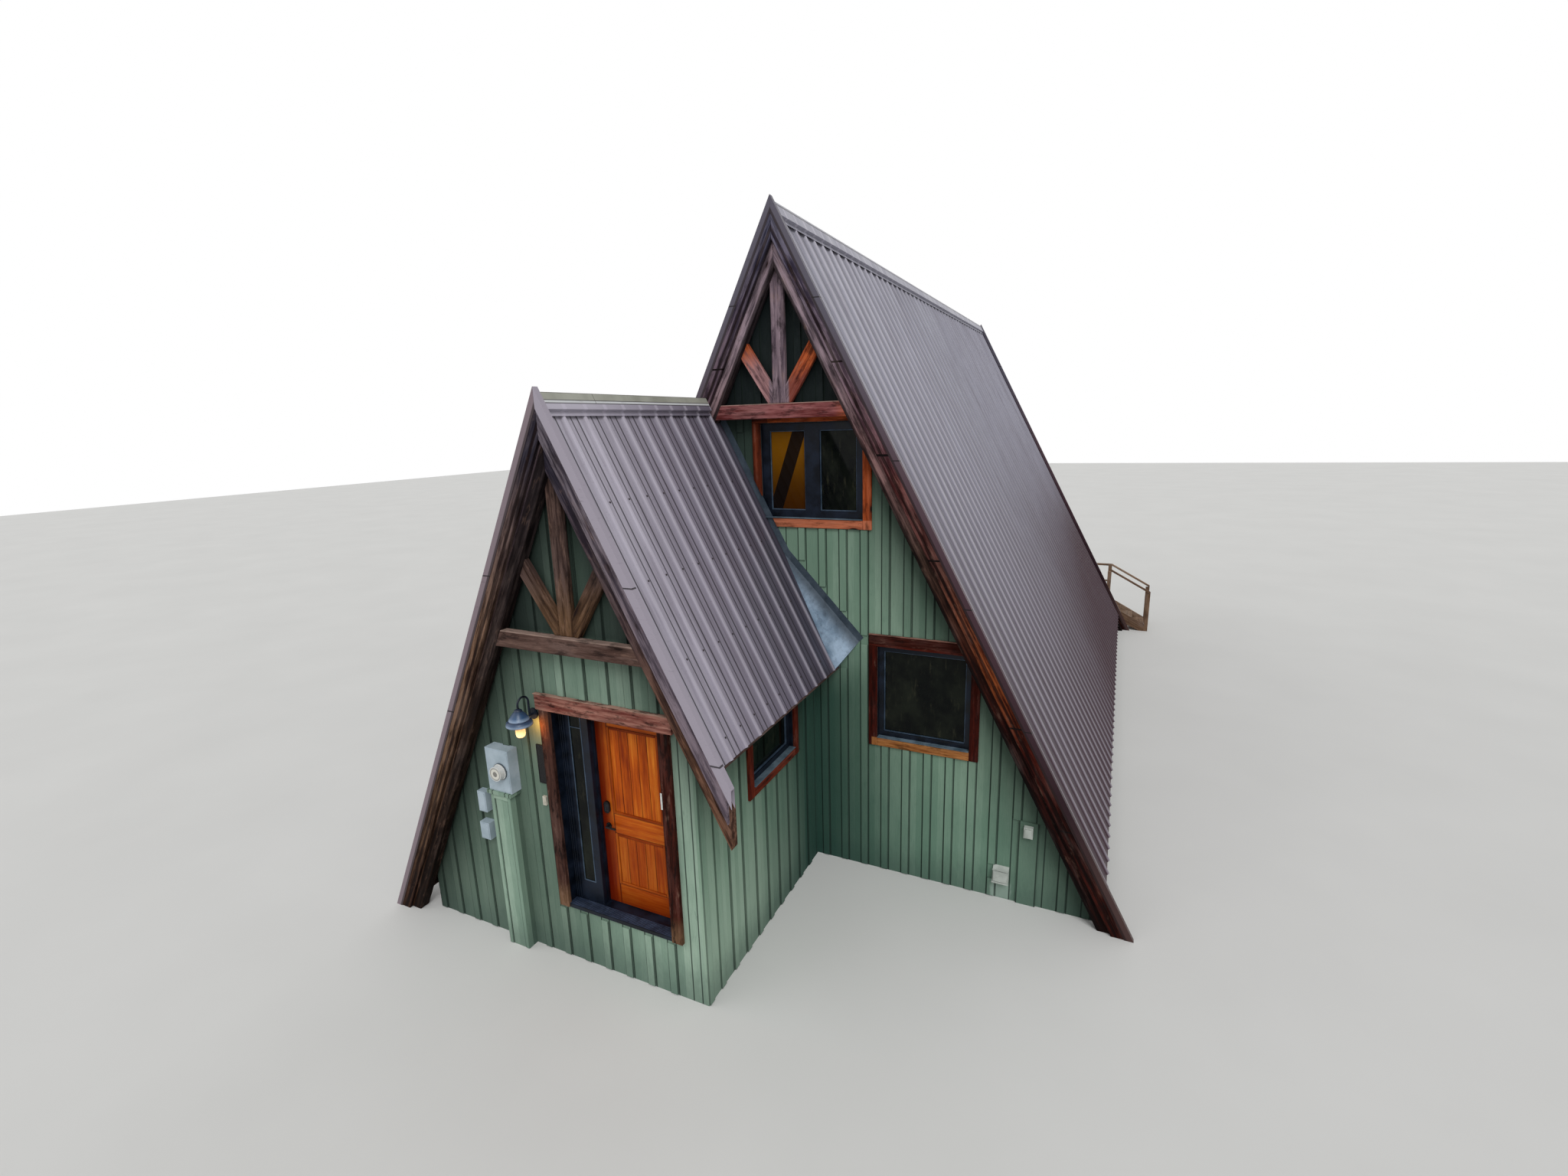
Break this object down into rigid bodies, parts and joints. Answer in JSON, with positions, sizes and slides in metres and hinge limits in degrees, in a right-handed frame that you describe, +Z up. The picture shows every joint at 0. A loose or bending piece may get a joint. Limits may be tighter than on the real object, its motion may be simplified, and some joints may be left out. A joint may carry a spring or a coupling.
{
  "type": "a-frame cabin",
  "caption": "A-frame cabin with a steep ribbed-metal roof that runs to the ground, a smaller entry gable in front with a hinged door, gable trusses and a rear stair.",
  "frame": {"origin": "centre of the bounding box at ground level", "axes": "+X to the right as seen from the front, +Y from the entry gable back along the ridge, +Z up"},
  "size_m": [8.7003, 16.45, 8.0192],
  "materials": {
    "main_roof_left": "plain sheathing under the roofing",
    "main_roof_right": "plain sheathing under the roofing",
    "entry_roof_left": "plain sheathing under the roofing",
    "entry_roof_right": "plain sheathing under the roofing",
    "main_roofing": "satin, weathered",
    "entry_roofing": "satin, weathered",
    "main_ridge_cap": "satin, weathered",
    "entry_ridge_cap": "satin",
    "edge_flashing": "satin, pale worn hem",
    "barge_boards": "stained, worn",
    "gable_rafters": "weathered stain",
    "truss_webs": "weathered stain",
    "collar_ties": "weathered stain",
    "eave_fascia": "weathered stain",
    "cricket_flashing": "galvanised, dull",
    "main_front_wall": "painted boards and battens, weathered",
    "main_back_wall": "painted boards and battens, weathered",
    "low_side_walls": "painted boards and battens, weathered",
    "entry_right_wall": "painted boards and battens, weathered",
    "entry_wall_left": "painted boards and battens, weathered",
    "entry_wall_right": "painted boards and battens, weathered",
    "entry_wall_top": "painted boards and battens, weathered",
    "entry_wall_sill": "painted boards and battens, weathered",
    "ground_floor": "boards",
    "upper_floor": "boards",
    "front_door": "stained, satin",
    "door_handle": "satin black",
    "door_hinges": "satin black",
    "door_frame": "painted, satin",
    "door_trims": "stained, weathered",
    "window_frames": "painted, satin",
    "window_glass": "clear",
    "window_trims": "stained, weathered",
    "wall_lamp": "satin black",
    "lamp_glass": "glowing cream",
    "utility_boxes": "satin grey",
    "meter_dome": "clear",
    "meter_chase": "painted boards and battens, weathered",
    "number_plaque": "matte",
    "doorbell": "matte",
    "outlet_box": "matte",
    "outlet_cover_board": "painted boards and battens, weathered",
    "vent_hood": "satin grey",
    "rear_door": "stained, satin",
    "rear_stair": "boards",
    "rear_handrail": "boards"
  },
  "bodies": {
    "cabin": {"main_roof_left": "main_roof_left", "main_roof_right": "main_roof_right", "entry_roof_left": "entry_roof_left", "entry_roof_right": "entry_roof_right", "main_roofing": "main_roofing", "entry_roofing": "entry_roofing", "main_ridge_cap": "main_ridge_cap", "entry_ridge_cap": "entry_ridge_cap", "edge_flashing": "edge_flashing", "barge_boards": "barge_boards", "gable_rafters": "gable_rafters", "truss_webs": "truss_webs", "collar_ties": "collar_ties", "eave_fascia": "eave_fascia", "cricket_flashing": "cricket_flashing", "main_front_wall": "main_front_wall", "main_back_wall": "main_back_wall", "low_side_walls": "low_side_walls", "entry_right_wall": "entry_right_wall", "entry_wall_left": "entry_wall_left", "entry_wall_right": "entry_wall_right", "entry_wall_top": "entry_wall_top", "entry_wall_sill": "entry_wall_sill", "ground_floor": "ground_floor", "upper_floor": "upper_floor", "door_frame": "door_frame", "door_trims": "door_trims", "window_frames": "window_frames", "window_glass": "window_glass", "window_trims": "window_trims", "wall_lamp": "wall_lamp", "lamp_glass": "lamp_glass", "utility_boxes": "utility_boxes", "meter_dome": "meter_dome", "meter_chase": "meter_chase", "number_plaque": "number_plaque", "doorbell": "doorbell", "outlet_box": "outlet_box", "outlet_cover_board": "outlet_cover_board", "vent_hood": "vent_hood", "rear_door": "rear_door", "rear_stair": "rear_stair", "rear_handrail": "rear_handrail"},
    "front_door": {"front_door": "front_door", "door_handle": "door_handle", "door_hinges": "door_hinges"}
  },
  "joints": [
    {"name": "front_door_hinge", "type": "hinge", "parent": "cabin", "child": "front_door", "pos_m": [-0.2581, -7.642, 1.65], "axis": [0, 0, -1], "range_deg": [0, 90]}
  ]
}
